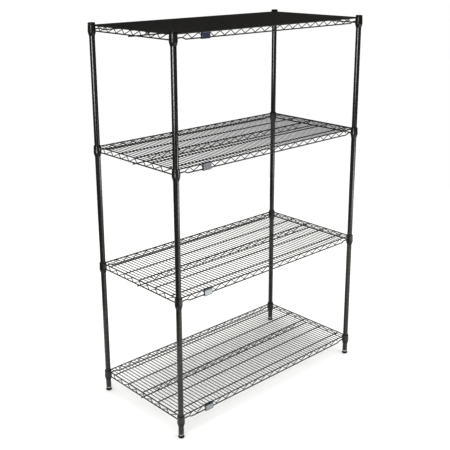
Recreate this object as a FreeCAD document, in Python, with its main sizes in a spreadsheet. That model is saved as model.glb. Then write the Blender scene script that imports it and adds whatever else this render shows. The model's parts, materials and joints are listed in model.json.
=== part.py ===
"""Free-standing wire shelving rack: four ringed tube posts, four welded wire shelves that hang on
tapered split sleeves, domed caps and levelling feet.

Frame: X along the width, -Y towards the front, +Z up. The origin is on the floor, under the middle
of the rack. Each shelf is modelled once about its own datum, the axis height of its upper rails,
and is then set at its height on the posts. Lengths are in millimetres.
"""

import FreeCAD, Part
import math
import os
import Sketcher

Vector = FreeCAD.Vector
Rotation = FreeCAD.Rotation
X_AXIS = Vector(1, 0, 0)
Y_AXIS = Vector(0, 1, 0)
Z_AXIS = Vector(0, 0, 1)
DOC = FreeCAD.newDocument("wire_rack")

# ---------------------------------------------------------------- driving dimensions
SIZES = {
    # posts
    "post_span_x": 1185.0,          # between post axes, along the width
    "post_span_y": 576.0,           # between post axes, front to back
    "post_radius": 12.7,
    "post_wall": 1.2,
    "post_base": 18.0,              # lower end of the tube above the floor
    "post_above_top": 6.5,          # upper end of the tube above the top shelf's datum
    "ring_first": 43.2,             # lowest ring above the floor
    "ring_pitch": 25.4,
    "ring_count": 71,
    "ring_depth": 0.55,
    "ring_half_width": 1.5,
    "ring_floor_half": 0.8,
    # shelf datums above the floor, from the top shelf down
    "level_one": 1833.2,
    "level_two": 1274.4,
    "level_three": 690.2,
    "level_four": 106.0,
    # sleeve and collar, heights from the shelf datum
    "sleeve_top": 6.0,
    "collar_top": 4.0,
    "collar_base": -27.5,
    "skirt_rim": -31.0,
    "skirt_base": -46.0,
    "skirt_radius": 17.6,
    "skirt_base_radius": 13.7,
    "collar_top_radius": 16.9,
    "collar_base_radius": 18.2,
    "collar_wall": 2.2,
    "collar_edge": 0.8,
    "cone_gap": 0.3,                # between a sleeve's cone and the collar around it
    "bore_gap": 0.05,               # between a sleeve and the post
    "ridge_drop": 12.0,             # sleeve's inner ridge below the datum
    "ridge_height": 0.4,
    "ridge_half_width": 1.2,
    "ridge_crest_half": 0.6,
    "half_sleeve_angle": 174.0,
    # rails and snake wires
    "rail_radius": 2.7,
    "rail_drop": 24.0,              # lower rail below the upper rail
    "upper_rail_end": 17.35,        # end of an upper rail from the post axis
    "lower_rail_end": 18.25,
    "weld_gap": 0.03,
    "snake_radius": 1.7,
    "snake_pitch": 60.5,
    "snake_peak": -2.5,             # axis height of the upper bends
    "snake_lift": 2.0,              # axis of the lower bends above the lower rail
    "snake_bend": 4.5,
    "front_peak_count": 18,
    "front_lean": 22.5,             # run of the leg that falls, along the front
    "front_left_tail": 23.6,        # from the first peak to the wire's left end
    "front_right_tail": 16.9,       # from the last peak to the wire's right end
    "front_tail_rise": 8.5,         # ends of the front snake wire above the lower rail
    "side_peak_count": 9,
    "side_first_peak": 231.4,
    "side_lean": 15.0,
    "centre_peak_count": 18,
    "centre_y": 5.0,
    # front and back lower rails, which rise beside the collars
    "jog_bend": 9.0,
    "jog_end_rise": 5.5,            # at the collar
    "jog_near": 31.0,               # raised stretch, from the post axis
    "jog_near_rise": 8.0,
    "jog_far": 48.0,
    "jog_far_rise": 7.5,
    "jog_foot": 65.0,               # where the rail is level again
    "centre_hook": 5.0,             # centre lower rail past the axes of the side rails
    # deck
    "deck_radius": 1.7,
    "deck_pitch": 20.1,
    "deck_count": 58,
    "deck_height": 0.8,             # axis of the deck wires, so that their tops are under the rails'
    "stringer_radius": 2.5,
    "stringer_inner": 114.0,
    "stringer_outer": 232.0,
    # label holder, a thin tray that is open towards the truss
    "label_left": -449.0,
    "label_width": 46.0,
    "label_depth": 8.3,             # of the tray, in front of the rails
    "label_wall": 1.5,
    "label_reach": 2.0,             # top flange past the axis of the upper rail
    "label_edge": 1.0,
    # cap
    "cap_radius": 17.0,
    "cap_height": 6.0,
    "cap_edge": 4.5,
    "plug_radius": 11.45,
    "cap_plug_length": 14.0,
    # levelling foot
    "pad_radius": 14.0,
    "pad_neck_radius": 12.0,
    "pad_height": 9.0,
    "pad_shoulder": 6.5,
    "pad_edge": 2.5,
    "stem_radius": 4.76,
    "stem_top": 60.0,
    "socket_floor": 3.0,
    "hex_base": 9.3,
    "hex_height": 6.4,
    "hex_across_flats": 17.0,
    "foot_gap": 0.3,
    "insert_flange": 2.0,
    "insert_flange_radius": 12.4,
    "insert_length": 26.0,
    "insert_bore_gap": 0.06,
}
LEVELS = ("one", "two", "three", "four")

sheet = DOC.addObject("Spreadsheet::Sheet", "sizes")
for row, (alias, value) in enumerate(SIZES.items(), start=1):
    sheet.set(f"A{row}", alias)
    sheet.set(f"B{row}", str(value))
    sheet.setAlias(f"B{row}", alias)
DOC.recompute()


def size(alias):
    """A driving dimension, read from the sheet."""
    return float(sheet.get(alias))


nodes = []


def as_node(obj, label):
    """Names an object of the document as one sub-part of the rack."""
    obj.Label = label
    nodes.append(obj)
    return obj


# ---------------------------------------------------------------- helpers: sketches and features
def new_body(name):
    return DOC.addObject("PartDesign::Body", name)


def origin_feature(body, role):
    return next(f for f in body.Origin.OriginFeatures if f.Role == role)


def sketch_on(body, plane, name):
    sketch = body.newObject("Sketcher::SketchObject", name)
    sketch.AttachmentSupport = [(origin_feature(body, plane), "")]
    sketch.MapMode = "FlatFace"
    return sketch


def pin_point(sketch, geometry, point, across, up):
    """Fixes a sketch point at (across, up) from the sketch's origin, both bound to the sheet."""
    for kind, expression, axis in (("DistanceX", across, -2), ("DistanceY", up, -1)):
        value = sketch.evalExpression(expression)
        if value == 0:
            sketch.addConstraint(Sketcher.Constraint("PointOnObject", geometry, point, axis))
            continue
        index = sketch.addConstraint(Sketcher.Constraint(kind, -1, 1, geometry, point, value))
        sketch.setExpression(f"Constraints[{index}]", expression)


def draw_outline(sketch, points):
    """A closed outline through points (across, up), each given by two expressions of the sheet."""
    places = [Vector(sketch.evalExpression(a), sketch.evalExpression(b), 0) for a, b in points]
    count = len(points)
    for i in range(count):
        sketch.addGeometry(Part.LineSegment(places[i], places[(i + 1) % count]), False)
    for i in range(count):
        sketch.addConstraint(Sketcher.Constraint("Coincident", i, 2, (i + 1) % count, 1))
    for i, (across, up) in enumerate(points):
        pin_point(sketch, i, 1, across, up)


def draw_circle(sketch, across, up, radius):
    centre = Vector(sketch.evalExpression(across), sketch.evalExpression(up), 0)
    value = sketch.evalExpression(radius)
    geometry = sketch.addGeometry(Part.Circle(centre, Z_AXIS, value), False)
    pin_point(sketch, geometry, 3, across, up)
    index = sketch.addConstraint(Sketcher.Constraint("Radius", geometry, value))
    sketch.setExpression(f"Constraints[{index}]", radius)


def turned(name, points, angle=None):
    """A body turned about its own Z axis from an outline in its XZ plane, right round or by an
    angle, half of it to each side of the plane."""
    body = new_body(name)
    sketch = sketch_on(body, "XZ_Plane", name + "_profile")
    draw_outline(sketch, points)
    turn = body.newObject("PartDesign::Revolution", name + "_turn")
    turn.Profile = sketch
    turn.ReferenceAxis = (sketch, ["V_Axis"])
    if angle:
        turn.setExpression("Angle", angle)
        turn.Midplane = True
    return body


def round_rings(body, name, places, radius):
    """Rounds the circular edges of a turned body that pass through (radius, height) places."""
    DOC.recompute()
    base = body.Tip
    edges = []
    for number, edge in enumerate(base.Shape.Edges, start=1):
        if not isinstance(edge.Curve, Part.Circle):
            continue
        here = (edge.Curve.Radius, edge.Curve.Center.z)
        if any(math.dist(here, place) < 1e-3 for place in places):
            edges.append(f"Edge{number}")
    fillet = body.newObject("PartDesign::Fillet", name)
    fillet.Base = (base, edges)
    fillet.setExpression("Radius", radius)


def extruded(name, plane, length):
    """A body with one sketch, padded evenly to both sides of its plane. Returns body and sketch."""
    body = new_body(name)
    sketch = sketch_on(body, plane, name + "_section")
    pad = body.newObject("PartDesign::Pad", name + "_pad")
    pad.Profile = sketch
    pad.Midplane = True
    pad.setExpression("Length", length)
    return body, sketch


def row_pattern(body, axis, length, count, name):
    """Repeats the body's last feature in a row along one of its axes."""
    feature = body.Tip
    pattern = body.newObject("PartDesign::LinearPattern", name)
    pattern.Originals = [feature]
    pattern.Direction = (origin_feature(body, axis), [""])
    pattern.setExpression("Length", length)
    pattern.setExpression("Occurrences", count)
    body.Tip = pattern


def place(obj, across=None, along=None, up=None):
    """Binds an object's place to the sheet."""
    for letter, expression in (("x", across), ("y", along), ("z", up)):
        if expression:
            obj.setExpression(f"Placement.Base.{letter}", expression)


def mirrored(source, normal, name, base_x=None):
    mirror = DOC.addObject("Part::Mirroring", name)
    mirror.Source = source
    mirror.Normal = normal
    if base_x:
        mirror.setExpression("Base.x", base_x)
    return mirror


def group(name, members):
    compound = DOC.addObject("Part::Compound", name)
    compound.Links = members
    return compound


def at_four_corners(source, name):
    """The piece at the front left corner and its mirror images at the other three, in order
    front left, front right, back left, back right."""
    front_right = mirrored(source, X_AXIS, name + "_fr")
    back_left = mirrored(source, Y_AXIS, name + "_bl")
    back_right = mirrored(front_right, Y_AXIS, name + "_br")
    return source, front_right, back_left, back_right


CORNER_NAMES = ("front_left", "front_right", "back_left", "back_right")
CORNER_X = "-sizes.post_span_x / 2"
CORNER_Y = "-sizes.post_span_y / 2"
UNDER_DECK = "(sizes.deck_height - sizes.deck_radius - sizes.weld_gap)"


def corner_nodes(source, label):
    """Four nodes from one piece: itself at the front left corner and its mirror images."""
    place(source, CORNER_X, CORNER_Y)
    for piece, corner in zip(at_four_corners(source, source.Name), CORNER_NAMES):
        as_node(piece, f"{label}_{corner}")


# ---------------------------------------------------------------- posts
POST_TOP = "(sizes.level_one + sizes.post_above_top)"


def make_post():
    """A tube with rolled rings at one pitch, in which the split sleeves snap."""
    bore = "sizes.post_radius - sizes.post_wall"
    body = turned("post", [
        (bore, "sizes.post_base"),
        ("sizes.post_radius", "sizes.post_base"),
        ("sizes.post_radius", POST_TOP),
        (bore, POST_TOP),
    ])
    sketch = sketch_on(body, "XZ_Plane", "post_ring_profile")
    floor = "sizes.post_radius - sizes.ring_depth"
    outside = "sizes.post_radius + sizes.ring_depth"
    draw_outline(sketch, [
        (floor, "sizes.ring_first - sizes.ring_floor_half"),
        ("sizes.post_radius", "sizes.ring_first - sizes.ring_half_width"),
        (outside, "sizes.ring_first - sizes.ring_half_width"),
        (outside, "sizes.ring_first + sizes.ring_half_width"),
        ("sizes.post_radius", "sizes.ring_first + sizes.ring_half_width"),
        (floor, "sizes.ring_first + sizes.ring_floor_half"),
    ])
    ring = body.newObject("PartDesign::Groove", "post_ring")
    ring.Profile = sketch
    ring.ReferenceAxis = (sketch, ["V_Axis"])
    ring.Angle = 360.0
    body.Tip = ring
    length = "sizes.ring_pitch * (sizes.ring_count - 1)"
    row_pattern(body, "Z_Axis", length, "sizes.ring_count", "post_rings")
    corner_nodes(body, "post")


def make_cap():
    """A domed cap whose plug fits in the top of the tube."""
    plug_end = POST_TOP + " - sizes.cap_plug_length"
    top = POST_TOP + " + sizes.cap_height"
    body = turned("post_cap", [
        ("0", plug_end),
        ("sizes.plug_radius", plug_end),
        ("sizes.plug_radius", POST_TOP),
        ("sizes.cap_radius", POST_TOP),
        ("sizes.cap_radius", top),
        ("0", top),
    ])
    rim = (size("cap_radius"), size("level_one") + size("post_above_top") + size("cap_height"))
    round_rings(body, "post_cap_edge", [rim], "sizes.cap_edge")
    corner_nodes(body, "post_cap")


# ---------------------------------------------------------------- levelling feet
def make_foot():
    """A pad that stands on the floor and a hexagon-headed stem that screws into the insert."""
    socket = "sizes.stem_radius + sizes.foot_gap"
    pad = turned("foot_pad", [
        ("0", "0"),
        ("sizes.pad_radius", "0"),
        ("sizes.pad_radius", "sizes.pad_shoulder"),
        ("sizes.pad_neck_radius", "sizes.pad_height"),
        (socket, "sizes.pad_height"),
        (socket, "sizes.socket_floor"),
        ("0", "sizes.socket_floor"),
    ])
    round_rings(pad, "foot_pad_edge", [(size("pad_radius"), 0.0)], "sizes.pad_edge")
    corner_nodes(pad, "foot_pad")

    rod = DOC.addObject("Part::Cylinder", "foot_stem_rod")
    rod.setExpression("Radius", "sizes.stem_radius")
    rod.setExpression("Height", "sizes.stem_top - sizes.socket_floor - sizes.foot_gap")
    place(rod, up="sizes.socket_floor + sizes.foot_gap")
    head = DOC.addObject("Part::Prism", "foot_stem_hexagon")
    head.Polygon = 6
    head.setExpression("Circumradius", "sizes.hex_across_flats / sqrt(3)")
    head.setExpression("Height", "sizes.hex_height")
    place(head, up="sizes.hex_base")
    stem = DOC.addObject("Part::Fuse", "foot_stem")
    stem.Base = rod
    stem.Tool = head
    corner_nodes(stem, "foot_stem")


def make_insert():
    """The threaded plug in the bottom of a tube, with a flange under the tube's end."""
    bore = "sizes.stem_radius + sizes.insert_bore_gap"
    under = "sizes.post_base - sizes.insert_flange"
    end = "sizes.post_base + sizes.insert_length"
    insert = turned("foot_insert", [
        (bore, under),
        ("sizes.insert_flange_radius", under),
        ("sizes.insert_flange_radius", "sizes.post_base"),
        ("sizes.plug_radius", "sizes.post_base"),
        ("sizes.plug_radius", end),
        (bore, end),
    ])
    place(insert, CORNER_X, CORNER_Y)
    as_node(group("foot_insert_set", list(at_four_corners(insert, "foot_insert"))), "foot_inserts")


# ---------------------------------------------------------------- one shelf about its datum
def make_collars():
    """Tapered collars welded in the shelf's corners, wider at the bottom."""
    collar = turned("collar", [
        ("sizes.collar_top_radius - sizes.collar_wall", "sizes.collar_top"),
        ("sizes.collar_top_radius", "sizes.collar_top"),
        ("sizes.collar_base_radius", "sizes.collar_base"),
        ("sizes.collar_base_radius - sizes.collar_wall", "sizes.collar_base"),
    ])
    rim = (size("collar_top_radius"), size("collar_top"))
    round_rings(collar, "collar_rim", [rim], "sizes.collar_edge")
    place(collar, CORNER_X, CORNER_Y)
    return group("collar_set", list(at_four_corners(collar, "collar")))


def make_sleeves():
    """Split sleeves: two halves round each post, a cone inside the collar and a skirt below it.
    A ridge inside each half sits in a ring of the post."""
    taper = ("(sizes.collar_base_radius - sizes.collar_top_radius)"
             " / (sizes.collar_top - sizes.collar_base)")
    cone = "sizes.collar_top_radius - sizes.collar_wall - sizes.cone_gap"
    cone_base = "sizes.collar_base - sizes.cone_gap"
    top_radius = f"{cone} + {taper} * (sizes.collar_top - sizes.sleeve_top)"
    base_radius = f"{cone} + {taper} * (sizes.collar_top - sizes.collar_base + sizes.cone_gap)"
    bore = "sizes.post_radius + sizes.bore_gap"
    crest = "sizes.post_radius - sizes.ridge_height"
    half = turned("half_sleeve", [
        (bore, "sizes.sleeve_top"),
        (top_radius, "sizes.sleeve_top"),
        (base_radius, cone_base),
        ("sizes.skirt_radius", cone_base),
        ("sizes.skirt_radius", "sizes.skirt_rim"),
        ("sizes.skirt_base_radius", "sizes.skirt_base"),
        (bore, "sizes.skirt_base"),
        (bore, "-sizes.ridge_drop - sizes.ridge_half_width"),
        (crest, "-sizes.ridge_drop - sizes.ridge_crest_half"),
        (crest, "-sizes.ridge_drop + sizes.ridge_crest_half"),
        (bore, "-sizes.ridge_drop + sizes.ridge_half_width"),
    ], angle="sizes.half_sleeve_angle")
    place(half, CORNER_X, CORNER_Y)
    other = mirrored(half, X_AXIS, "other_half_sleeve", CORNER_X)
    pair = group("sleeve_pair", [half, other])
    return group("sleeve_set", list(at_four_corners(pair, "sleeve_pair")))


def straight_rail(name, along_x, end, across="0", up="0", overhang="0"):
    """A straight rail centred on the rack, along X or along Y, that ends short of the posts."""
    span = "sizes.post_span_x" if along_x else "sizes.post_span_y"
    rail = DOC.addObject("Part::Cylinder", name)
    rail.setExpression("Radius", "sizes.rail_radius")
    rail.setExpression("Height", f"{span} - 2 * ({end}) + 2 * ({overhang})")
    start = f"-({span} / 2 - ({end}) + ({overhang}))"
    if along_x:
        rail.Placement.Rotation = Rotation(Y_AXIS, 90)
        place(rail, start, across, up)
    else:
        rail.Placement.Rotation = Rotation(X_AXIS, -90)
        place(rail, across, start, up)
    return rail


def bent_wire(name, points, bend, radius):
    """A round wire along straight runs joined by tangent arcs of one bend radius."""
    edges = []
    start = points[0]
    for here, corner, after in zip(points, points[1:], points[2:]):
        back = (here - corner).normalize()
        ahead = (after - corner).normalize()
        half_angle = back.getAngle(ahead) / 2
        reach = bend / math.tan(half_angle)
        bisector = (back + ahead).normalize()
        middle = corner + bisector * (bend / math.sin(half_angle) - bend)
        arc_start = corner + back * reach
        arc_end = corner + ahead * reach
        edges.append(Part.LineSegment(start, arc_start).toShape())
        edges.append(Part.Arc(arc_start, middle, arc_end).toShape())
        start = arc_end
    edges.append(Part.LineSegment(start, points[-1]).toShape())
    path = Part.Wire(edges)
    section = Part.Wire(Part.Circle(points[0], points[1] - points[0], radius).toShape())
    wire = DOC.addObject("Part::Feature", name)
    wire.Shape = path.makePipeShell([section], True, False)
    return wire


def snake_points(peaks, lean, step, peak_height, trough_height):
    """Corners of a snake wire as (run, height): from each peak it falls over the lean, then climbs
    to the next peak."""
    corners = []
    for number, peak in enumerate(peaks):
        corners.append((peak, peak_height))
        if number < len(peaks) - 1:
            corners.append((peak + lean * step, trough_height))
    return corners


def make_front_truss():
    """Upper rail, lower rail that rises beside the collars, and the snake wire behind them."""
    half_x = size("post_span_x") / 2
    rail_y = -size("post_span_y") / 2
    upper = straight_rail("front_upper_rail", True, "sizes.upper_rail_end", CORNER_Y)

    low = -size("rail_drop")
    jog = ((size("lower_rail_end"), size("jog_end_rise")), (size("jog_near"), size("jog_near_rise")),
           (size("jog_far"), size("jog_far_rise")), (size("jog_foot"), 0.0))
    left_end = [Vector(-half_x + inset, rail_y, low + rise) for inset, rise in jog]
    right_end = [Vector(-p.x, p.y, p.z) for p in reversed(left_end)]
    lower = bent_wire("front_lower_rail", left_end + right_end, size("jog_bend"), size("rail_radius"))

    pitch = size("snake_pitch")
    count = int(size("front_peak_count"))
    peaks = [pitch * (number - (count - 1) / 2) for number in range(count)]
    peak_height = size("snake_peak")
    trough_height = low + size("snake_lift")
    corners = snake_points(peaks, size("front_lean"), 1, peak_height, trough_height)
    tail_height = low + size("front_tail_rise")
    corners.insert(0, (peaks[0] - size("front_left_tail"), tail_height))
    corners.append((peaks[-1] + size("front_right_tail"), tail_height))
    snake_y = rail_y + size("rail_radius") + size("snake_radius") + size("weld_gap")
    snake = bent_wire("front_snake", [Vector(run, snake_y, height) for run, height in corners],
                      size("snake_bend"), size("snake_radius"))
    return group("front_truss_set", [upper, lower, snake])


def make_side_truss():
    """Upper and lower rails between the left collars, and the snake wire outside them."""
    rail_x = -size("post_span_x") / 2
    upper = straight_rail("side_upper_rail", False, "sizes.upper_rail_end", CORNER_X)
    lower = straight_rail("side_lower_rail", False, "sizes.lower_rail_end", CORNER_X,
                          "-sizes.rail_drop")
    pitch = size("snake_pitch")
    peaks = [size("side_first_peak") - pitch * n for n in range(int(size("side_peak_count")))]
    trough_height = -size("rail_drop") + size("snake_lift")
    corners = snake_points(peaks, size("side_lean"), -1, size("snake_peak"), trough_height)
    snake_x = rail_x - size("rail_radius") - size("snake_radius") - size("weld_gap")
    snake = bent_wire("side_snake", [Vector(snake_x, run, height) for run, height in corners],
                      size("snake_bend"), size("snake_radius"))
    return group("side_truss_set", [upper, lower, snake])


def make_centre_truss():
    """The truss under the middle of the deck. Its lower rail hooks under those of the sides."""
    between = "sizes.rail_radius + sizes.weld_gap"
    hooked = "-sizes.rail_drop - 2 * sizes.rail_radius - sizes.weld_gap"
    upper = straight_rail("centre_upper_rail", True, between, "sizes.centre_y",
                          f"{UNDER_DECK} - sizes.rail_radius")
    lower = straight_rail("centre_lower_rail", True, "0", "sizes.centre_y", hooked,
                          "sizes.centre_hook")
    pitch = size("snake_pitch")
    count = int(size("centre_peak_count"))
    peaks = [pitch * (number - (count - 1) / 2) for number in range(count)]
    rail_height = size("deck_height") - size("deck_radius") - size("weld_gap") - size("rail_radius")
    peak_height = rail_height + size("snake_peak")
    trough_height = -size("rail_drop") - 2 * size("rail_radius") + size("snake_lift")
    corners = snake_points(peaks, size("front_lean"), 1, peak_height, trough_height)
    snake_y = size("centre_y") + size("rail_radius") + size("snake_radius") + size("weld_gap")
    snake = bent_wire("centre_snake", [Vector(run, snake_y, height) for run, height in corners],
                      size("snake_bend"), size("snake_radius"))
    return group("centre_truss_set", [upper, lower, snake])


def make_stringers():
    """Four round bars under the deck wires, between the upper rails of the sides."""
    length = "sizes.post_span_x - 2 * (sizes.rail_radius + sizes.weld_gap)"
    body, sketch = extruded("stringer_bars", "YZ_Plane", length)
    for place_y in ("sizes.stringer_inner", "sizes.stringer_outer"):
        for sign in ("", "-"):
            draw_circle(sketch, sign + place_y, f"{UNDER_DECK} - sizes.stringer_radius",
                        "sizes.stringer_radius")
    return body


def make_deck():
    """Deck wires welded on top of the stringers, between the front and back upper rails."""
    length = "sizes.post_span_y - 2 * (sizes.rail_radius + sizes.weld_gap)"
    body, sketch = extruded("deck_wire_row", "XZ_Plane", length)
    first = "-sizes.deck_pitch * (sizes.deck_count - 1) / 2"
    draw_circle(sketch, first, "sizes.deck_height", "sizes.deck_radius")
    row_pattern(body, "X_Axis", "sizes.deck_pitch * (sizes.deck_count - 1)", "sizes.deck_count",
                "deck_wire_pattern")
    return body


def make_label():
    """A blank label holder near the left end of the front truss: a thin tray in front of the rails,
    with a flange over the upper rail and a lip under the lower one."""
    body, sketch = extruded("label_blank", "YZ_Plane", "sizes.label_width")
    beside = "sizes.rail_radius + sizes.weld_gap"
    front = f"{CORNER_Y} - ({beside}) - sizes.label_depth"
    back = f"{CORNER_Y} - ({beside})"
    reach = f"{CORNER_Y} + sizes.label_reach"
    floor = f"-sizes.rail_drop - ({beside})"
    draw_outline(sketch, [
        (front, f"{floor} - sizes.label_wall"),
        (CORNER_Y, f"{floor} - sizes.label_wall"),
        (CORNER_Y, floor),
        (back, floor),
        (back, beside),
        (reach, beside),
        (reach, f"{beside} + sizes.label_wall"),
        (front, f"{beside} + sizes.label_wall"),
    ])
    DOC.recompute()
    pad = body.Tip
    face = min(pad.Shape.Faces, key=lambda side: side.CenterOfMass.y)
    names = [f"Edge{n}" for n, edge in enumerate(pad.Shape.Edges, start=1)
             if any(edge.isSame(other) for other in face.Edges)]
    fillet = body.newObject("PartDesign::Fillet", "label_front_edge")
    fillet.Base = (pad, names)
    fillet.setExpression("Radius", "sizes.label_edge")
    middle = "sizes.label_left + sizes.label_width / 2"
    place(body, middle)

    hollow = DOC.addObject("Part::Box", "label_hollow")
    hollow.setExpression("Length", "sizes.label_width - 2 * sizes.label_wall")
    hollow.setExpression("Width", "sizes.label_depth - sizes.label_wall")
    hollow.setExpression("Height", f"sizes.rail_drop + 2 * ({beside})")
    place(hollow, "sizes.label_left + sizes.label_wall", f"{front} + sizes.label_wall", floor)
    holder = DOC.addObject("Part::Cut", "label_holder")
    holder.Base = body
    holder.Tool = hollow
    return holder


def at_levels(source, label, turned_round=False):
    """One node on each shelf: the piece at the shelf's datum, or turned half way round."""
    for level in LEVELS:
        copy = group(f"{label}_level_{level}", [source])
        if turned_round:
            copy.Placement.Rotation = Rotation(Z_AXIS, 180)
        place(copy, up=f"sizes.level_{level}")
        as_node(copy, f"shelf_{level}_{label}")


make_post()
make_cap()
make_foot()
make_insert()
front_truss = make_front_truss()
side_truss = make_side_truss()
at_levels(make_sleeves(), "split_sleeves")
at_levels(make_collars(), "corner_collars")
at_levels(front_truss, "front_truss")
at_levels(front_truss, "back_truss", turned_round=True)
at_levels(side_truss, "left_truss")
at_levels(side_truss, "right_truss", turned_round=True)
at_levels(make_centre_truss(), "centre_truss")
at_levels(make_stringers(), "stringers")
at_levels(make_deck(), "deck_wires")
at_levels(make_label(), "label_plate")
DOC.recompute()


# ---------------------------------------------------------------- checks, then one file per node
def check_document():
    for obj in DOC.Objects:
        if "Invalid" in obj.State or "Error" in obj.State:
            raise RuntimeError(f"{obj.Label} failed to recompute")
    for obj in nodes:
        if obj.Shape.isNull() or not obj.Shape.isValid():
            raise RuntimeError(f"{obj.Label} has no valid shape")


check_document()
os.makedirs("parts", exist_ok=True)
for node in nodes:
    node.Shape.exportStep(f"parts/{node.Label}.step")
print(f"{len(nodes)} nodes written")
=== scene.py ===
"""Looks of the wire shelving rack: materials of every piece, the weld beads, the threads of the
levelling feet, the labels, and a plain studio.

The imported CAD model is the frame, in metres: X along the width, -Y towards the front, +Z up, with
the origin on the floor under the middle of the rack.
"""

import bpy
import json
import math
import random
from mathutils import Matrix, Vector


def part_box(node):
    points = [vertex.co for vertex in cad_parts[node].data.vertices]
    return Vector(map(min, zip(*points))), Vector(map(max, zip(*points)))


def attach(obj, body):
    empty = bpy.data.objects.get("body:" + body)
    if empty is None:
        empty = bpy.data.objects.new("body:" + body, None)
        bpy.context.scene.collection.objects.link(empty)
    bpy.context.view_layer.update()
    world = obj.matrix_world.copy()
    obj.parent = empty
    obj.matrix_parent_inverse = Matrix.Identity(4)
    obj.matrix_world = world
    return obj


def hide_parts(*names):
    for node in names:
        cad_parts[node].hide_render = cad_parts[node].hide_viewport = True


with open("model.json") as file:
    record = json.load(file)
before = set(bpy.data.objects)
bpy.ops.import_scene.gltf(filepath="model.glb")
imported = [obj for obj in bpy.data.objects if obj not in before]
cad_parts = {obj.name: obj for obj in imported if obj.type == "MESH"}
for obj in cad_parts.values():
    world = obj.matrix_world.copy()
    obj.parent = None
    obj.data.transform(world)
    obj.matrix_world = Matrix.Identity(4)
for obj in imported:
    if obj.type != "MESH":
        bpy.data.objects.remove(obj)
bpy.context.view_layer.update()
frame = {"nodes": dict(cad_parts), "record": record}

MM = 0.001
LEVELS = ("one", "two", "three", "four")
CORNERS = ("front_left", "front_right", "back_left", "back_right")
SHELF_BODY = {"one": "frame", "two": "shelf_two", "three": "shelf_three", "four": "shelf_four"}
MIX_ONE, MIX_OTHER, MIX_COLOUR = 6, 7, 2    # colour sockets of a Mix node


def middle(node):
    """Centre of a CAD node's box."""
    low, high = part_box(node)
    return (low + high) / 2


# ---------------------------------------------------------------- node materials
class Surface:
    """A procedural material round one Principled BSDF, in object coordinates (metres)."""

    def __init__(self, name, **constants):
        self.material = bpy.data.materials.new(name)
        self.material.use_nodes = True
        self.tree = self.material.node_tree
        self.shader = self.tree.nodes["Principled BSDF"]
        self.place = self.add("ShaderNodeTexCoord").outputs["Object"]
        for socket, value in constants.items():
            self.shader.inputs[socket.replace("_", " ")].default_value = value

    def add(self, kind, **settings):
        node = self.tree.nodes.new(kind)
        for key, value in settings.items():
            setattr(node, key, value)
        return node

    def link(self, source, target):
        self.tree.links.new(source, target)

    def noise(self, size, detail=2.0, stretch=(1.0, 1.0, 1.0)):
        """Noise whose largest features are about size metres, longer along a stretched axis."""
        scaled = self.add("ShaderNodeMapping")
        scaled.inputs["Scale"].default_value = [1.0 / s for s in stretch]
        self.link(self.place, scaled.inputs["Vector"])
        texture = self.add("ShaderNodeTexNoise")
        texture.inputs["Scale"].default_value = 1.0 / size
        texture.inputs["Detail"].default_value = detail
        self.link(scaled.outputs["Vector"], texture.inputs["Vector"])
        return texture.outputs["Fac"]

    def spread(self, value, low, high, to_low, to_high):
        """Maps value from low..high to to_low..to_high, clamped."""
        node = self.add("ShaderNodeMapRange")
        for index, number in enumerate((low, high, to_low, to_high), start=1):
            node.inputs[index].default_value = number
        self.link(value, node.inputs["Value"])
        return node.outputs["Result"]

    def colours(self, value, *stops):
        """Maps value to colours through (position, (r, g, b)) stops."""
        node = self.add("ShaderNodeValToRGB")
        ramp = node.color_ramp
        while len(ramp.elements) < len(stops):
            ramp.elements.new(0.5)
        for element, (position, colour) in zip(ramp.elements, stops):
            element.position = position
            element.color = (*colour, 1.0)
        self.link(value, node.inputs["Fac"])
        return node.outputs["Color"]

    def blend(self, factor, one, other):
        """Mixes two colours by factor."""
        node = self.add("ShaderNodeMix", data_type="RGBA")
        self.link(factor, node.inputs["Factor"])
        self.link(one, node.inputs[MIX_ONE])
        self.link(other, node.inputs[MIX_OTHER])
        return node.outputs[MIX_COLOUR]

    def combine(self, operation, one, other):
        node = self.add("ShaderNodeMath", operation=operation)
        for value, socket in ((one, node.inputs[0]), (other, node.inputs[1])):
            if isinstance(value, float):
                socket.default_value = value
            else:
                self.link(value, socket)
        return node.outputs["Value"]

    def upward(self):
        """1 on faces that look up, 0 on the rest."""
        geometry = self.add("ShaderNodeNewGeometry")
        parts = self.add("ShaderNodeSeparateXYZ")
        self.link(geometry.outputs["Normal"], parts.inputs["Vector"])
        return self.spread(parts.outputs["Z"], 0.35, 0.95, 0.0, 1.0)

    def bump(self, height, distance, strength=1.0, under=None):
        node = self.add("ShaderNodeBump")
        node.inputs["Strength"].default_value = strength
        node.inputs["Distance"].default_value = distance
        self.link(height, node.inputs["Height"])
        if under:
            self.link(under, node.inputs["Normal"])
        return node.outputs["Normal"]

    def finish(self, colour=None, roughness=None, normal=None):
        for socket, value in (("Base Color", colour), ("Roughness", roughness), ("Normal", normal)):
            if value:
                self.link(value, self.shader.inputs[socket])
        return self.material


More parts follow.
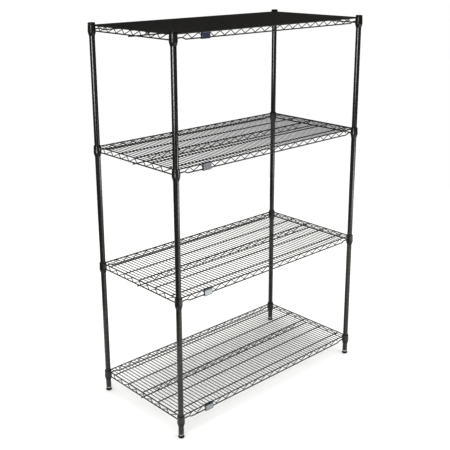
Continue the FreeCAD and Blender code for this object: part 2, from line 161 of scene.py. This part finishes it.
def epoxy(name, peel, gloss, dust):
    """Black epoxy coating: faint orange peel, thin spots, and dust on faces that look up."""
    s = Surface(name, Specular_IOR_Level=0.5, Coat_Weight=0.35, Coat_Roughness=0.12)
    patches = s.noise(0.045, 4.0)
    coat = s.colours(patches, (0.30, (0.0115, 0.0110, 0.0098)), (0.72, (0.0200, 0.0192, 0.0172)))
    specks = s.spread(s.noise(0.0016, 3.0), 0.63, 0.74, 0.0, 1.0)
    speckled = s.blend(specks, coat, s.colours(patches, (0.3, (0.034, 0.033, 0.030)),
                                               (0.7, (0.025, 0.024, 0.022))))
    film = s.combine("MULTIPLY", s.upward(), s.spread(s.noise(0.012, 5.0), 0.4, 0.75, 0.0, dust))
    dusty = s.blend(film, speckled, s.colours(patches, (0.3, (0.16, 0.155, 0.145)),
                                              (0.7, (0.12, 0.117, 0.11))))
    rough = s.spread(s.noise(0.008, 4.0), 0.3, 0.7, gloss, gloss + 0.1)
    rough = s.combine("ADD", rough, s.combine("MULTIPLY", film, 0.8))
    skin = s.bump(s.noise(0.0022, 2.0), peel * MM)
    return s.finish(dusty, rough, s.bump(s.noise(0.02, 2.0), 2 * peel * MM, 0.6, skin))


def moulded_plastic(name, dark, light, gloss, grain):
    """Black moulded plastic with a fine grain and faint flow marks."""
    s = Surface(name, Specular_IOR_Level=0.45)
    flow = s.noise(0.02, 3.0, stretch=(1.0, 1.0, 3.0))
    colour = s.colours(flow, (0.3, dark), (0.7, light))
    rough = s.spread(s.noise(0.004, 3.0), 0.3, 0.7, gloss, gloss + 0.12)
    return s.finish(colour, rough, s.bump(s.noise(0.0007, 2.0), grain * MM))


def rubber():
    """Dull black rubber, greyer towards the floor where dust sticks to it."""
    s = Surface("pad_rubber", Specular_IOR_Level=0.3)
    parts = s.add("ShaderNodeSeparateXYZ")
    s.link(s.place, parts.inputs["Vector"])
    low = s.spread(parts.outputs["Z"], 0.0, 0.005, 1.0, 0.0)
    dust = s.combine("MULTIPLY", low, s.spread(s.noise(0.003, 5.0), 0.4, 0.7, 0.1, 0.7))
    clean = s.colours(s.noise(0.01, 3.0), (0.3, (0.010, 0.010, 0.010)), (0.7, (0.02, 0.02, 0.019)))
    grey = s.colours(s.noise(0.002, 2.0), (0.3, (0.09, 0.088, 0.083)), (0.7, (0.13, 0.127, 0.12)))
    rough = s.spread(s.noise(0.003, 3.0), 0.3, 0.7, 0.62, 0.8)
    return s.finish(s.blend(dust, clean, grey), rough, s.bump(s.noise(0.0009, 3.0), 0.05 * MM))


def plated_steel(name, tint):
    """Zinc-plated steel: cloudy plating with fine turning marks around the axis."""
    s = Surface(name, Metallic=1.0)
    clouds = s.noise(0.006, 5.0)
    colour = s.colours(clouds, (0.3, tuple(0.72 * c for c in tint)), (0.7, tint))
    rough = s.spread(s.noise(0.003, 4.0), 0.3, 0.7, 0.24, 0.42)
    marks = s.noise(0.0006, 2.0, stretch=(12.0, 12.0, 1.0))
    return s.finish(colour, rough, s.bump(marks, 0.02 * MM))


def label_holder():
    """Dark blue-grey plastic of the label's frame."""
    s = Surface("label_holder", Specular_IOR_Level=0.6, Coat_Weight=0.6, Coat_Roughness=0.08)
    colour = s.colours(s.noise(0.01, 3.0), (0.3, (0.02, 0.024, 0.035)), (0.7, (0.03, 0.036, 0.05)))
    rough = s.spread(s.noise(0.004, 3.0), 0.3, 0.7, 0.18, 0.3)
    return s.finish(colour, rough, s.bump(s.noise(0.002, 2.0), 0.02 * MM))


def label_card(name, dark, light):
    """Blank card with a faint fibre, under a clear film; its dark and light colours carry a painted
    reflection, set shelf by shelf.
    """
    s = Surface(name, Metallic=0.2, Coat_Weight=0.3, Coat_Roughness=0.2)
    colour = s.colours(s.noise(0.006, 4.0), (0.3, dark), (0.7, light))
    rough = s.spread(s.noise(0.003, 4.0), 0.3, 0.7, 0.34, 0.48)
    fibre = s.noise(0.0008, 3.0, stretch=(4.0, 1.0, 1.0))
    return s.finish(colour, rough, s.bump(fibre, 0.01 * MM))


POST_EPOXY = epoxy("post_epoxy", peel=0.03, gloss=0.13, dust=0.04)
WIRE_EPOXY = epoxy("wire_epoxy", peel=0.03, gloss=0.26, dust=0.08)
WELD_EPOXY = epoxy("weld_epoxy", peel=0.06, gloss=0.34, dust=0.08)
COLLAR_EPOXY = epoxy("collar_epoxy", peel=0.03, gloss=0.12, dust=0.04)
CAP_PLASTIC = moulded_plastic("cap_plastic", dark=(0.006, 0.006, 0.0058),
                              light=(0.011, 0.0107, 0.010), gloss=0.18, grain=0.01)
SLEEVE_PLASTIC = moulded_plastic("sleeve_plastic", dark=(0.006, 0.006, 0.006),
                                 light=(0.012, 0.012, 0.0115), gloss=0.28, grain=0.02)
PAD_RUBBER = rubber()
STEM_STEEL = plated_steel("stem_steel", tint=(0.66, 0.65, 0.62))
INSERT_STEEL = plated_steel("insert_steel", tint=(0.72, 0.72, 0.70))
LABEL_HOLDER = label_holder()
# One card material in four shades: each shelf's shade is painted reflection, navy on shelf one,
# mauve-grey on two, pale on three and grey on four.
LABEL_CARDS_PAINTED_REFLECTION = {
    "one": label_card("card_painted_dark_reflection", dark=(0.030, 0.036, 0.060), light=(0.055, 0.063, 0.095)),
    "two": label_card("card_painted_dim_reflection", dark=(0.062, 0.062, 0.080), light=(0.098, 0.098, 0.120)),
    "three": label_card("card_painted_bright_reflection", dark=(0.27, 0.295, 0.30), light=(0.35, 0.375, 0.38)),
    "four": label_card("card_painted_mid_reflection", dark=(0.20, 0.215, 0.23), light=(0.27, 0.285, 0.30)),
}

SLOT_MATERIALS = {
    "post_epoxy": POST_EPOXY,
    "wire_epoxy": WIRE_EPOXY,
    "cap_plastic": CAP_PLASTIC,
    "sleeve_plastic": SLEEVE_PLASTIC,
    "pad_rubber": PAD_RUBBER,
    "stem_steel": STEM_STEEL,
    "insert_steel": INSERT_STEEL,
    "label_plastic": LABEL_HOLDER,
}


def paint_cad_nodes():
    """Gives every CAD node the material of its slot, and the collars a glossier one."""
    for entry in frame["record"]["subparts"]:
        node = frame["nodes"][entry["node"]]
        material = SLOT_MATERIALS[entry["material_slot"]]
        if entry["node"].endswith("corner_collars"):
            material = COLLAR_EPOXY
        node.data.materials.clear()
        node.data.materials.append(material)


# ---------------------------------------------------------------- mesh helpers
class Skin:
    """A mesh gathered from lofts, each one a row of loops with the same number of points."""

    def __init__(self):
        self.points = []
        self.faces = []
        self.smooth = []
        self.slots = []

    def face(self, corners, smooth, slot):
        self.faces.append(corners)
        self.smooth.append(smooth)
        self.slots.append(slot)

    def loft(self, loops, smooth=True, ring=False, end_slot=0):
        """Joins the loops by quads. A ring closes on its first loop, and the rest are capped."""
        start, count = len(self.points), len(loops[0])
        for loop in loops:
            self.points.extend(loop)
        for i in range(len(loops) if ring else len(loops) - 1):
            here, after = start + i * count, start + (i + 1) % len(loops) * count
            for j in range(count):
                k = (j + 1) % count
                self.face((here + j, here + k, after + k, after + j), smooth, 0)
        if not ring:
            last = start + (len(loops) - 1) * count
            self.face(tuple(range(start + count - 1, start - 1, -1)), False, 0)
            self.face(tuple(range(last, last + count)), False, end_slot)

    def piece(self, name, materials, body):
        """A new piece with this mesh, riding on a body."""
        mesh = bpy.data.meshes.new(name)
        mesh.from_pydata(self.points, [], self.faces)
        mesh.polygons.foreach_set("use_smooth", self.smooth)
        mesh.polygons.foreach_set("material_index", self.slots)
        for material in materials:
            mesh.materials.append(material)
        obj = bpy.data.objects.new(name, mesh)
        bpy.context.scene.collection.objects.link(obj)
        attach(obj, body)
        return obj


def unit_ball(around, rings):
    """Loops of a ball of radius 1, from its lower cap to its upper one."""
    loops = []
    for i in range(1, rings + 1):
        tilt = math.pi * (i - 0.5) / rings - math.pi / 2
        loops.append([(math.cos(math.tau * j / around) * math.cos(tilt),
                       math.sin(math.tau * j / around) * math.cos(tilt), math.sin(tilt))
                      for j in range(around)])
    return loops


BALL = unit_ball(around=8, rings=5)


def add_bead(skin, centre, half_sizes):
    """A smooth lump of weld metal: an ellipsoid with half sizes along X, Y and Z."""
    skin.loft([[tuple(c + h * p for c, h, p in zip(centre, half_sizes, point)) for point in loop]
               for loop in BALL])


def add_ring_bead(skin, centre, axis, radius, thickness, around=16, section=8):
    """A fillet of weld metal round a wire: a torus about the wire's axis."""
    turn = Vector((0, 0, 1)).rotation_difference(axis).to_matrix()
    loops = []
    for i in range(around):
        angle = math.tau * i / around
        out = Vector((math.cos(angle), math.sin(angle), 0))
        loop = []
        for j in range(section):
            tilt = -math.tau * j / section
            rise = Vector((0, 0, thickness * math.sin(tilt)))
            local = out * (radius + thickness * math.cos(tilt)) + rise
            loop.append(tuple(centre + turn @ local))
        loops.append(loop)
    skin.loft(loops, ring=True)


# ---------------------------------------------------------------- weld beads
# A drop is a distance below the axis of a shelf's upper rails.
RAIL_RADIUS = 2.7 * MM
RAIL_DROP = 24.0 * MM               # lower rails
FRONT_END_DROP = 18.5 * MM          # lower rails of the front and back, where they rise to a collar
SNAKE_PITCH = 60.5 * MM
FRONT_PEAKS = 18
FRONT_LEAN = 22.5 * MM
SIDE_PEAKS = 9
SIDE_FIRST_PEAK = 231.4 * MM
SIDE_LEAN = 15.0 * MM
STRINGER_LINES = (-232.0 * MM, -114.0 * MM, 114.0 * MM, 232.0 * MM)
STRINGER_DROP = 3.43 * MM
CENTRE_LINE = 5.0 * MM
CENTRE_DROP = 3.63 * MM
DECK_WIRES = 58
DECK_RADIUS = 1.7 * MM
DECK_RISE = 0.8 * MM
UPPER_REACH = 17.2 * MM             # from a post's axis to the fillets of the upper rails
LOWER_REACH = 18.1 * MM
SNAKE_OFFSET = 2.6 * MM             # from a rail's axis to the middle of a snake's weld
SEAM = RAIL_RADIUS - 0.2 * MM       # a snake's weld beside its rail

# Half sizes of the beads along their wire, across it and up, and how much their sizes vary
CROSSING_BEAD = (2.7 * MM, 2.3 * MM, 1.25 * MM)
CROSSING_GROWTH = (0.9, 1.15)
CROSSING_SHIFT = 0.2                # along the stringer, in mm
END_BEAD = (2.3 * MM, 1.2 * MM, 1.75 * MM)
END_GROWTH = (0.85, 1.15)
SNAKE_BEAD = (3.2 * MM, 1.3 * MM, 1.7 * MM)
SNAKE_GROWTH = (0.85, 1.2)
MEMBER_BEAD = (1.8 * MM, 2.9 * MM, 2.3 * MM)
CENTRE_BEAD = (3.0 * MM, 3.0 * MM, 1.2 * MM)
FILLET = 1.2 * MM
WELD_SEED = 7

POST_X = abs(middle("post_front_left").x)
POST_Y = abs(middle("post_front_left").y)


def rail_height(level):
    """Axis height of a shelf's upper rails."""
    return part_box(f"shelf_{level}_front_truss")[1].z - RAIL_RADIUS


def deck_lines(level):
    """Places along X of a shelf's deck wires."""
    low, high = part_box(f"shelf_{level}_deck_wires")
    first, last = low.x + DECK_RADIUS, high.x - DECK_RADIUS
    return [first + (last - first) * i / (DECK_WIRES - 1) for i in range(DECK_WIRES)]


def weld_deck(skin, level, chance):
    """Beads where each deck wire crosses the stringers and the centre rail, and where it ends
    at the front and back rails."""
    height = rail_height(level) + DECK_RISE
    crossing = height - DECK_RADIUS
    for x in deck_lines(level):
        for y in (*STRINGER_LINES, CENTRE_LINE):
            grow = chance.uniform(*CROSSING_GROWTH)
            shift = chance.uniform(-CROSSING_SHIFT, CROSSING_SHIFT) * MM
            along, across, up = CROSSING_BEAD
            add_bead(skin, Vector((x + shift, y, crossing)), (along * grow, across * grow, up))
        for way in (-1, 1):
            grow = chance.uniform(*END_GROWTH)
            along, across, up = END_BEAD
            centre = Vector((x, way * (POST_Y - RAIL_RADIUS), height))
            add_bead(skin, centre, (along * grow, across, up))


def weld_snakes(skin, level, chance):
    """Beads where the snake wires touch the upper and lower rails of the five trusses."""
    top = rail_height(level)
    along, across, up = SNAKE_BEAD
    half_span = SNAKE_PITCH * (FRONT_PEAKS - 1) / 2
    runs = [-half_span + SNAKE_PITCH * i for i in range(FRONT_PEAKS)]
    for way, line, high, low in ((1, -POST_Y, 0.0, RAIL_DROP), (-1, POST_Y, 0.0, RAIL_DROP),
                                 (1, CENTRE_LINE, CENTRE_DROP, RAIL_DROP + 2 * RAIL_RADIUS)):
        for number, run in enumerate(runs):
            spots = [(run, top - high - SNAKE_OFFSET)]
            if number < FRONT_PEAKS - 1:
                spots.append((run + FRONT_LEAN, top - low + SNAKE_OFFSET))
            for x, z in spots:
                grow = chance.uniform(*SNAKE_GROWTH)
                centre = Vector((way * x, line + way * SEAM, z))
                add_bead(skin, centre, (along * grow, across, up * grow))
    for way in (1, -1):
        for number in range(SIDE_PEAKS):
            run = SIDE_FIRST_PEAK - SNAKE_PITCH * number
            spots = [(run, top - SNAKE_OFFSET)]
            if number < SIDE_PEAKS - 1:
                spots.append((run - SIDE_LEAN, top - RAIL_DROP + SNAKE_OFFSET))
            for y, z in spots:
                grow = chance.uniform(*SNAKE_GROWTH)
                centre = Vector((-way * (POST_X + SEAM), way * y, z))
                add_bead(skin, centre, (across, along * grow, up * grow))


def weld_corners(skin, level):
    """Fillets round the rail ends at the collars, and beads at the ends of the cross members."""
    top = rail_height(level)
    for sx in (-1, 1):
        for sy in (-1, 1):
            post = Vector((sx * POST_X, sy * POST_Y, 0))
            along, across = Vector((-sx, 0, 0)), Vector((0, -sy, 0))
            for reach, axis, drop in ((UPPER_REACH, along, 0.0), (LOWER_REACH, along, FRONT_END_DROP),
                                      (UPPER_REACH, across, 0.0), (LOWER_REACH, across, RAIL_DROP)):
                centre = post + axis * reach + Vector((0, 0, top - drop))
                add_ring_bead(skin, centre, axis, RAIL_RADIUS, FILLET)
        side = sx * (POST_X - RAIL_RADIUS)
        for y in STRINGER_LINES:
            add_bead(skin, Vector((side, y, top - STRINGER_DROP)), MEMBER_BEAD)
        add_bead(skin, Vector((side, CENTRE_LINE, top - CENTRE_DROP)), MEMBER_BEAD)
        crossing = Vector((sx * POST_X, CENTRE_LINE, top - RAIL_DROP - RAIL_RADIUS))
        add_bead(skin, crossing, CENTRE_BEAD)


def make_welds(level, chance):
    """All the beads of one shelf, as one piece."""
    skin = Skin()
    weld_deck(skin, level, chance)
    weld_snakes(skin, level, chance)
    weld_corners(skin, level)
    skin.piece(f"shelf_{level}_weld_beads", [WELD_EPOXY], SHELF_BODY[level])


# ---------------------------------------------------------------- threaded stems
THREAD_PITCH = 1.5875 * MM
THREAD_DEPTH = 0.9 * MM
THREAD_STEPS = 8                    # loops in one turn of the thread
FLANK_SLOPE = 2.6
CREST_WIDTH = 0.15
STEM_RADIUS = 4.76 * MM
END_CHAMFER = 1.2 * MM
TIP_WIDTH, TIP_SWELL = 0.8, 0.2     # shares of the radius at the lower tip, and gained above it
TIP_HEIGHT = 1.5 * MM
HEX_FLATS = 17.0 * MM
HEX_BASE = 9.3 * MM
HEX_HEIGHT = 6.4 * MM
HEX_CHAMFER = 0.7 * MM


def stem_profile(z, angle, radius, low, high):
    """Radius of the stem at a height and an angle round it: threaded above the hexagon."""
    if z < HEX_BASE + HEX_HEIGHT:
        return radius * (TIP_WIDTH + TIP_SWELL * min(1.0, (z - low) / TIP_HEIGHT))
    phase = (z / THREAD_PITCH - angle / math.tau) % 1.0
    tooth = THREAD_DEPTH * min(1.0, max(0.0, FLANK_SLOPE * abs(phase - 0.5) - CREST_WIDTH))
    chamfer = max(0.0, END_CHAMFER - (high - z))
    return radius - tooth - chamfer


def add_rod(skin, centre, radius, low, high, around=36):
    """The stem itself, from its tip in the pad to its chamfered upper end."""
    count = int((high - low) * THREAD_STEPS / THREAD_PITCH)
    loops = []
    for i in range(count + 1):
        z = low + (high - low) * i / count
        loop = []
        for j in range(around):
            angle = math.tau * j / around
            r = stem_profile(z, angle, radius, low, high)
            loop.append((centre.x + r * math.cos(angle), centre.y + r * math.sin(angle), z))
        loops.append(loop)
    skin.loft(loops)


def add_hexagon(skin, centre):
    """The chamfered hexagon that a spanner turns."""
    corner = HEX_FLATS / math.sqrt(3)
    top = HEX_BASE + HEX_HEIGHT
    loops = []
    for z, r in ((HEX_BASE, corner - HEX_CHAMFER), (HEX_BASE + HEX_CHAMFER, corner),
                 (top - HEX_CHAMFER, corner), (top, corner - HEX_CHAMFER)):
        angles = [math.tau * i / 6 for i in range(6)]
        loops.append([(centre.x + r * math.cos(angle), centre.y + r * math.sin(angle), z)
                      for angle in angles])
    skin.loft(loops, smooth=False)


def make_stem(corner):
    """A threaded stem in place of the plain one of a levelling foot."""
    node = f"foot_stem_{corner}"
    low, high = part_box(node)
    skin = Skin()
    add_rod(skin, middle(node), STEM_RADIUS, low.z, high.z)
    add_hexagon(skin, middle(node))
    stem = skin.piece(f"threaded_stem_{corner}", [STEM_STEEL], node)
    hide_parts(node)


# ---------------------------------------------------------------- labels
HOLDER_WALL = 1.5 * MM
HOLDER_REACH = 4.73 * MM            # flange and lip behind the tray
HOLDER_RADIUS = 2.0 * MM            # corners of the tray
LEAST_RADIUS = 0.4 * MM
EDGE = 0.8 * MM                     # rounded front edge of the tray
EDGE_MIDDLE = (0.2 * MM, 0.25 * MM)
CARD_TOP = 7.2 * MM                 # upper edge of the card below the holder's top
CARD_INSET = 1.9 * MM
CARD_RADIUS = 1.2 * MM
CARD_SECTION = ((0.0, -0.5 * MM), (0.3 * MM, 0.0), (0.8 * MM, 0.1 * MM))    # depth and inset
BAR_INSET = 0.4 * MM
BAR_BEVEL = 0.3 * MM


def rounded_outline(centre, width, height, radius, per_corner=5):
    """Points of a rounded rectangle in an XZ plane."""
    points = []
    for sx, sz, start in ((1, 1, 0), (-1, 1, 90), (-1, -1, 180), (1, -1, 270)):
        across = centre.x + sx * (width / 2 - radius)
        up = centre.z + sz * (height / 2 - radius)
        for i in range(per_corner):
            angle = math.radians(start + 90 * i / (per_corner - 1))
            points.append((across + radius * math.cos(angle), centre.y,
                           up + radius * math.sin(angle)))
    return points


def add_bar(skin, low, high, bevel):
    """A bar along X with bevelled edges, between two corners of its box."""
    loops = []
    for x, inset in ((low.x, bevel), (low.x + bevel, 0.0), (high.x - bevel, 0.0), (high.x, bevel)):
        a, b, c, d = low.y + inset, high.y - inset, low.z + inset, high.z - inset
        cut = max(bevel - inset, 0.1 * bevel)
        outline = ((a + cut, c), (b - cut, c), (b, c + cut), (b, d - cut),
                   (b - cut, d), (a + cut, d), (a, d - cut), (a, c + cut))
        loops.append([(x, y, z) for y, z in outline])
    skin.loft(loops, smooth=False)


def make_label(level):
    """A blank label: a thin tray, open towards the truss, that frames a card, with a flange
    over the upper rail and a lip under the lower one."""
    node = f"shelf_{level}_label_plate"
    low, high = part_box(node)
    width, height = high.x - low.x, high.z - low.z
    middle_x, middle_z = (low.x + high.x) / 2, (low.z + high.z) / 2
    back, front = high.y - HOLDER_REACH, low.y
    card_width = width - 2 * CARD_INSET
    card_height = height - CARD_TOP - CARD_INSET
    card_z = low.z + CARD_INSET + card_height / 2
    tray = ((front + HOLDER_WALL, HOLDER_WALL), (back, HOLDER_WALL), (back, 0.0),
            (front + EDGE, 0.0), (front + EDGE_MIDDLE[0], EDGE_MIDDLE[1]), (front, EDGE))
    loops = []
    for y, inset in tray:
        centre = Vector((middle_x, y, middle_z))
        radius = max(LEAST_RADIUS, HOLDER_RADIUS - inset)
        loops.append(rounded_outline(centre, width - 2 * inset, height - 2 * inset, radius))
    for depth, inset in CARD_SECTION:
        centre = Vector((middle_x, front + depth, card_z))
        loops.append(rounded_outline(centre, card_width - 2 * inset, card_height - 2 * inset,
                                     CARD_RADIUS))
    skin = Skin()
    skin.loft(loops, end_slot=1)
    for reach, bottom, top in ((high.y, high.z - HOLDER_WALL, high.z),
                               (back + RAIL_RADIUS, low.z, low.z + HOLDER_WALL)):
        add_bar(skin, Vector((low.x + BAR_INSET, back - BAR_INSET, bottom)),
                Vector((high.x - BAR_INSET, reach, top)), BAR_BEVEL)
    # The card's shade on each shelf is painted reflection.
    label = skin.piece(f"shelf_{level}_label", [LABEL_HOLDER, LABEL_CARDS_PAINTED_REFLECTION[level]],
                       SHELF_BODY[level])
    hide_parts(node)


# ---------------------------------------------------------------- studio
FLOOR_LOW = (-1.5, -3.9)
FLOOR_HIGH = (3.8, 2.5)
BACKDROP_WHITE = (1.0, 1.0, 1.0, 1.0)
FILL_WHITE = (1.0, 1.0, 0.985, 1.0)
FILL_STRENGTH = 1.2
ROOM_BELOW = (0.2, (0.02, 0.0195, 0.018, 1.0))      # height of the direction, and colour
ROOM_ABOVE = (0.9, (0.3, 0.3, 0.29, 1.0))
DISPLAY_GAMMA = 0.8
SENSOR_WIDTH = 36.0
FOCAL_LENGTH = 63.92
VIEW_SHIFT = -0.0911
CAMERA_ANGLES = (42.86, 16.17, -0.16)               # yaw, pitch down and roll, in degrees
CAMERA_PLACE = (-2.628, -2.782, 2.145)


def make_floor():
    """White paper that reaches further to the front and right of the rack than to its left."""
    s = Surface("floor_paper", Specular_IOR_Level=0.2, Roughness=0.75)
    colour = s.colours(s.noise(0.6, 3.0), (0.3, (0.88, 0.88, 0.875)), (0.7, (0.90, 0.90, 0.895)))
    material = s.finish(colour, None, s.bump(s.noise(0.01, 3.0), 0.05 * MM))
    mesh = bpy.data.meshes.new("floor")
    (left, front), (right, back) = FLOOR_LOW, FLOOR_HIGH
    corners = [(left, front, 0.0), (right, front, 0.0), (right, back, 0.0), (left, back, 0.0)]
    mesh.from_pydata(corners, [], [(0, 1, 2, 3)])
    mesh.materials.append(material)
    floor = bpy.data.objects.new("floor", mesh)
    bpy.context.scene.collection.objects.link(floor)


def make_world():
    """White to the camera and for diffuse light. Glossy surfaces see a dark room, lighter
    overhead."""
    world = bpy.data.worlds.new("studio")
    world.use_nodes = True
    bpy.context.scene.world = world
    tree = world.node_tree
    tree.nodes.clear()
    place = tree.nodes.new("ShaderNodeTexCoord")
    parts = tree.nodes.new("ShaderNodeSeparateXYZ")
    ramp = tree.nodes.new("ShaderNodeValToRGB")
    for element, (position, colour) in zip(ramp.color_ramp.elements, (ROOM_BELOW, ROOM_ABOVE)):
        element.color = colour
        element.position = position
    room, backdrop, fill = (tree.nodes.new("ShaderNodeBackground") for _ in range(3))
    backdrop.inputs["Color"].default_value = BACKDROP_WHITE
    fill.inputs["Color"].default_value = FILL_WHITE
    fill.inputs["Strength"].default_value = FILL_STRENGTH
    rays = tree.nodes.new("ShaderNodeLightPath")
    unseen = tree.nodes.new("ShaderNodeMixShader")
    mix = tree.nodes.new("ShaderNodeMixShader")
    output = tree.nodes.new("ShaderNodeOutputWorld")
    for source, target in (
            (place.outputs["Generated"], parts.inputs["Vector"]),
            (parts.outputs["Z"], ramp.inputs["Fac"]),
            (ramp.outputs["Color"], room.inputs["Color"]),
            (rays.outputs["Is Glossy Ray"], unseen.inputs[0]),
            (fill.outputs["Background"], unseen.inputs[1]),
            (room.outputs["Background"], unseen.inputs[2]),
            (rays.outputs["Is Camera Ray"], mix.inputs[0]),
            (unseen.outputs["Shader"], mix.inputs[1]),
            (backdrop.outputs["Background"], mix.inputs[2]),
            (mix.outputs["Shader"], output.inputs["Surface"])):
        tree.links.new(source, target)


def softbox(name, place, aim, width, height, power):
    """A soft area light at place that faces aim."""
    light = bpy.data.lights.new(name, "AREA")
    light.shape = "RECTANGLE"
    light.size, light.size_y = width, height
    light.energy = power
    lamp = bpy.data.objects.new(name, light)
    bpy.context.scene.collection.objects.link(lamp)
    lamp.location = place
    lamp.rotation_euler = (Vector(aim) - Vector(place)).to_track_quat("-Z", "Y").to_euler()


def make_lights():
    """Soft light from above, and two panels that show in the glossy posts."""
    softbox("overhead", place=(0.0, 0.0, 4.6), aim=(0, 0, 0),
            width=3.0, height=3.0, power=30)
    softbox("left_window", place=(-4.2, -2.0, 1.15), aim=(0, 0, 1.15),
            width=2.8, height=1.1, power=108)
    softbox("low_right", place=(0.95, -2.15, 0.5), aim=(0.0, 0, 0.75),
            width=1.9, height=0.6, power=20)


def make_camera():
    """The photograph's viewing angle, with less shift than the best fit has."""
    yaw, pitch, roll = (math.radians(a) for a in CAMERA_ANGLES)
    forward = Vector((math.sin(yaw) * math.cos(pitch), math.cos(yaw) * math.cos(pitch),
                      -math.sin(pitch)))
    right = Vector((math.cos(yaw), -math.sin(yaw), 0))
    up = right.cross(forward)
    across = right * math.cos(roll) + up * math.sin(roll)
    above = up * math.cos(roll) - right * math.sin(roll)
    data = bpy.data.cameras.new("camera")
    data.sensor_width = SENSOR_WIDTH
    data.lens = FOCAL_LENGTH
    data.shift_y = VIEW_SHIFT
    camera = bpy.data.objects.new("camera", data)
    bpy.context.scene.collection.objects.link(camera)
    place = Matrix((across, above, -forward)).transposed().to_4x4()
    place.translation = CAMERA_PLACE
    camera.matrix_world = place
    bpy.context.scene.camera = camera


paint_cad_nodes()
chance = random.Random(WELD_SEED)
for shelf_level in LEVELS:
    make_welds(shelf_level, chance)
    make_label(shelf_level)
for shelf_corner in CORNERS:
    make_stem(shelf_corner)
make_floor()
make_world()
make_lights()
make_camera()
bpy.context.scene.view_settings.view_transform = "Standard"
bpy.context.scene.view_settings.gamma = DISPLAY_GAMMA
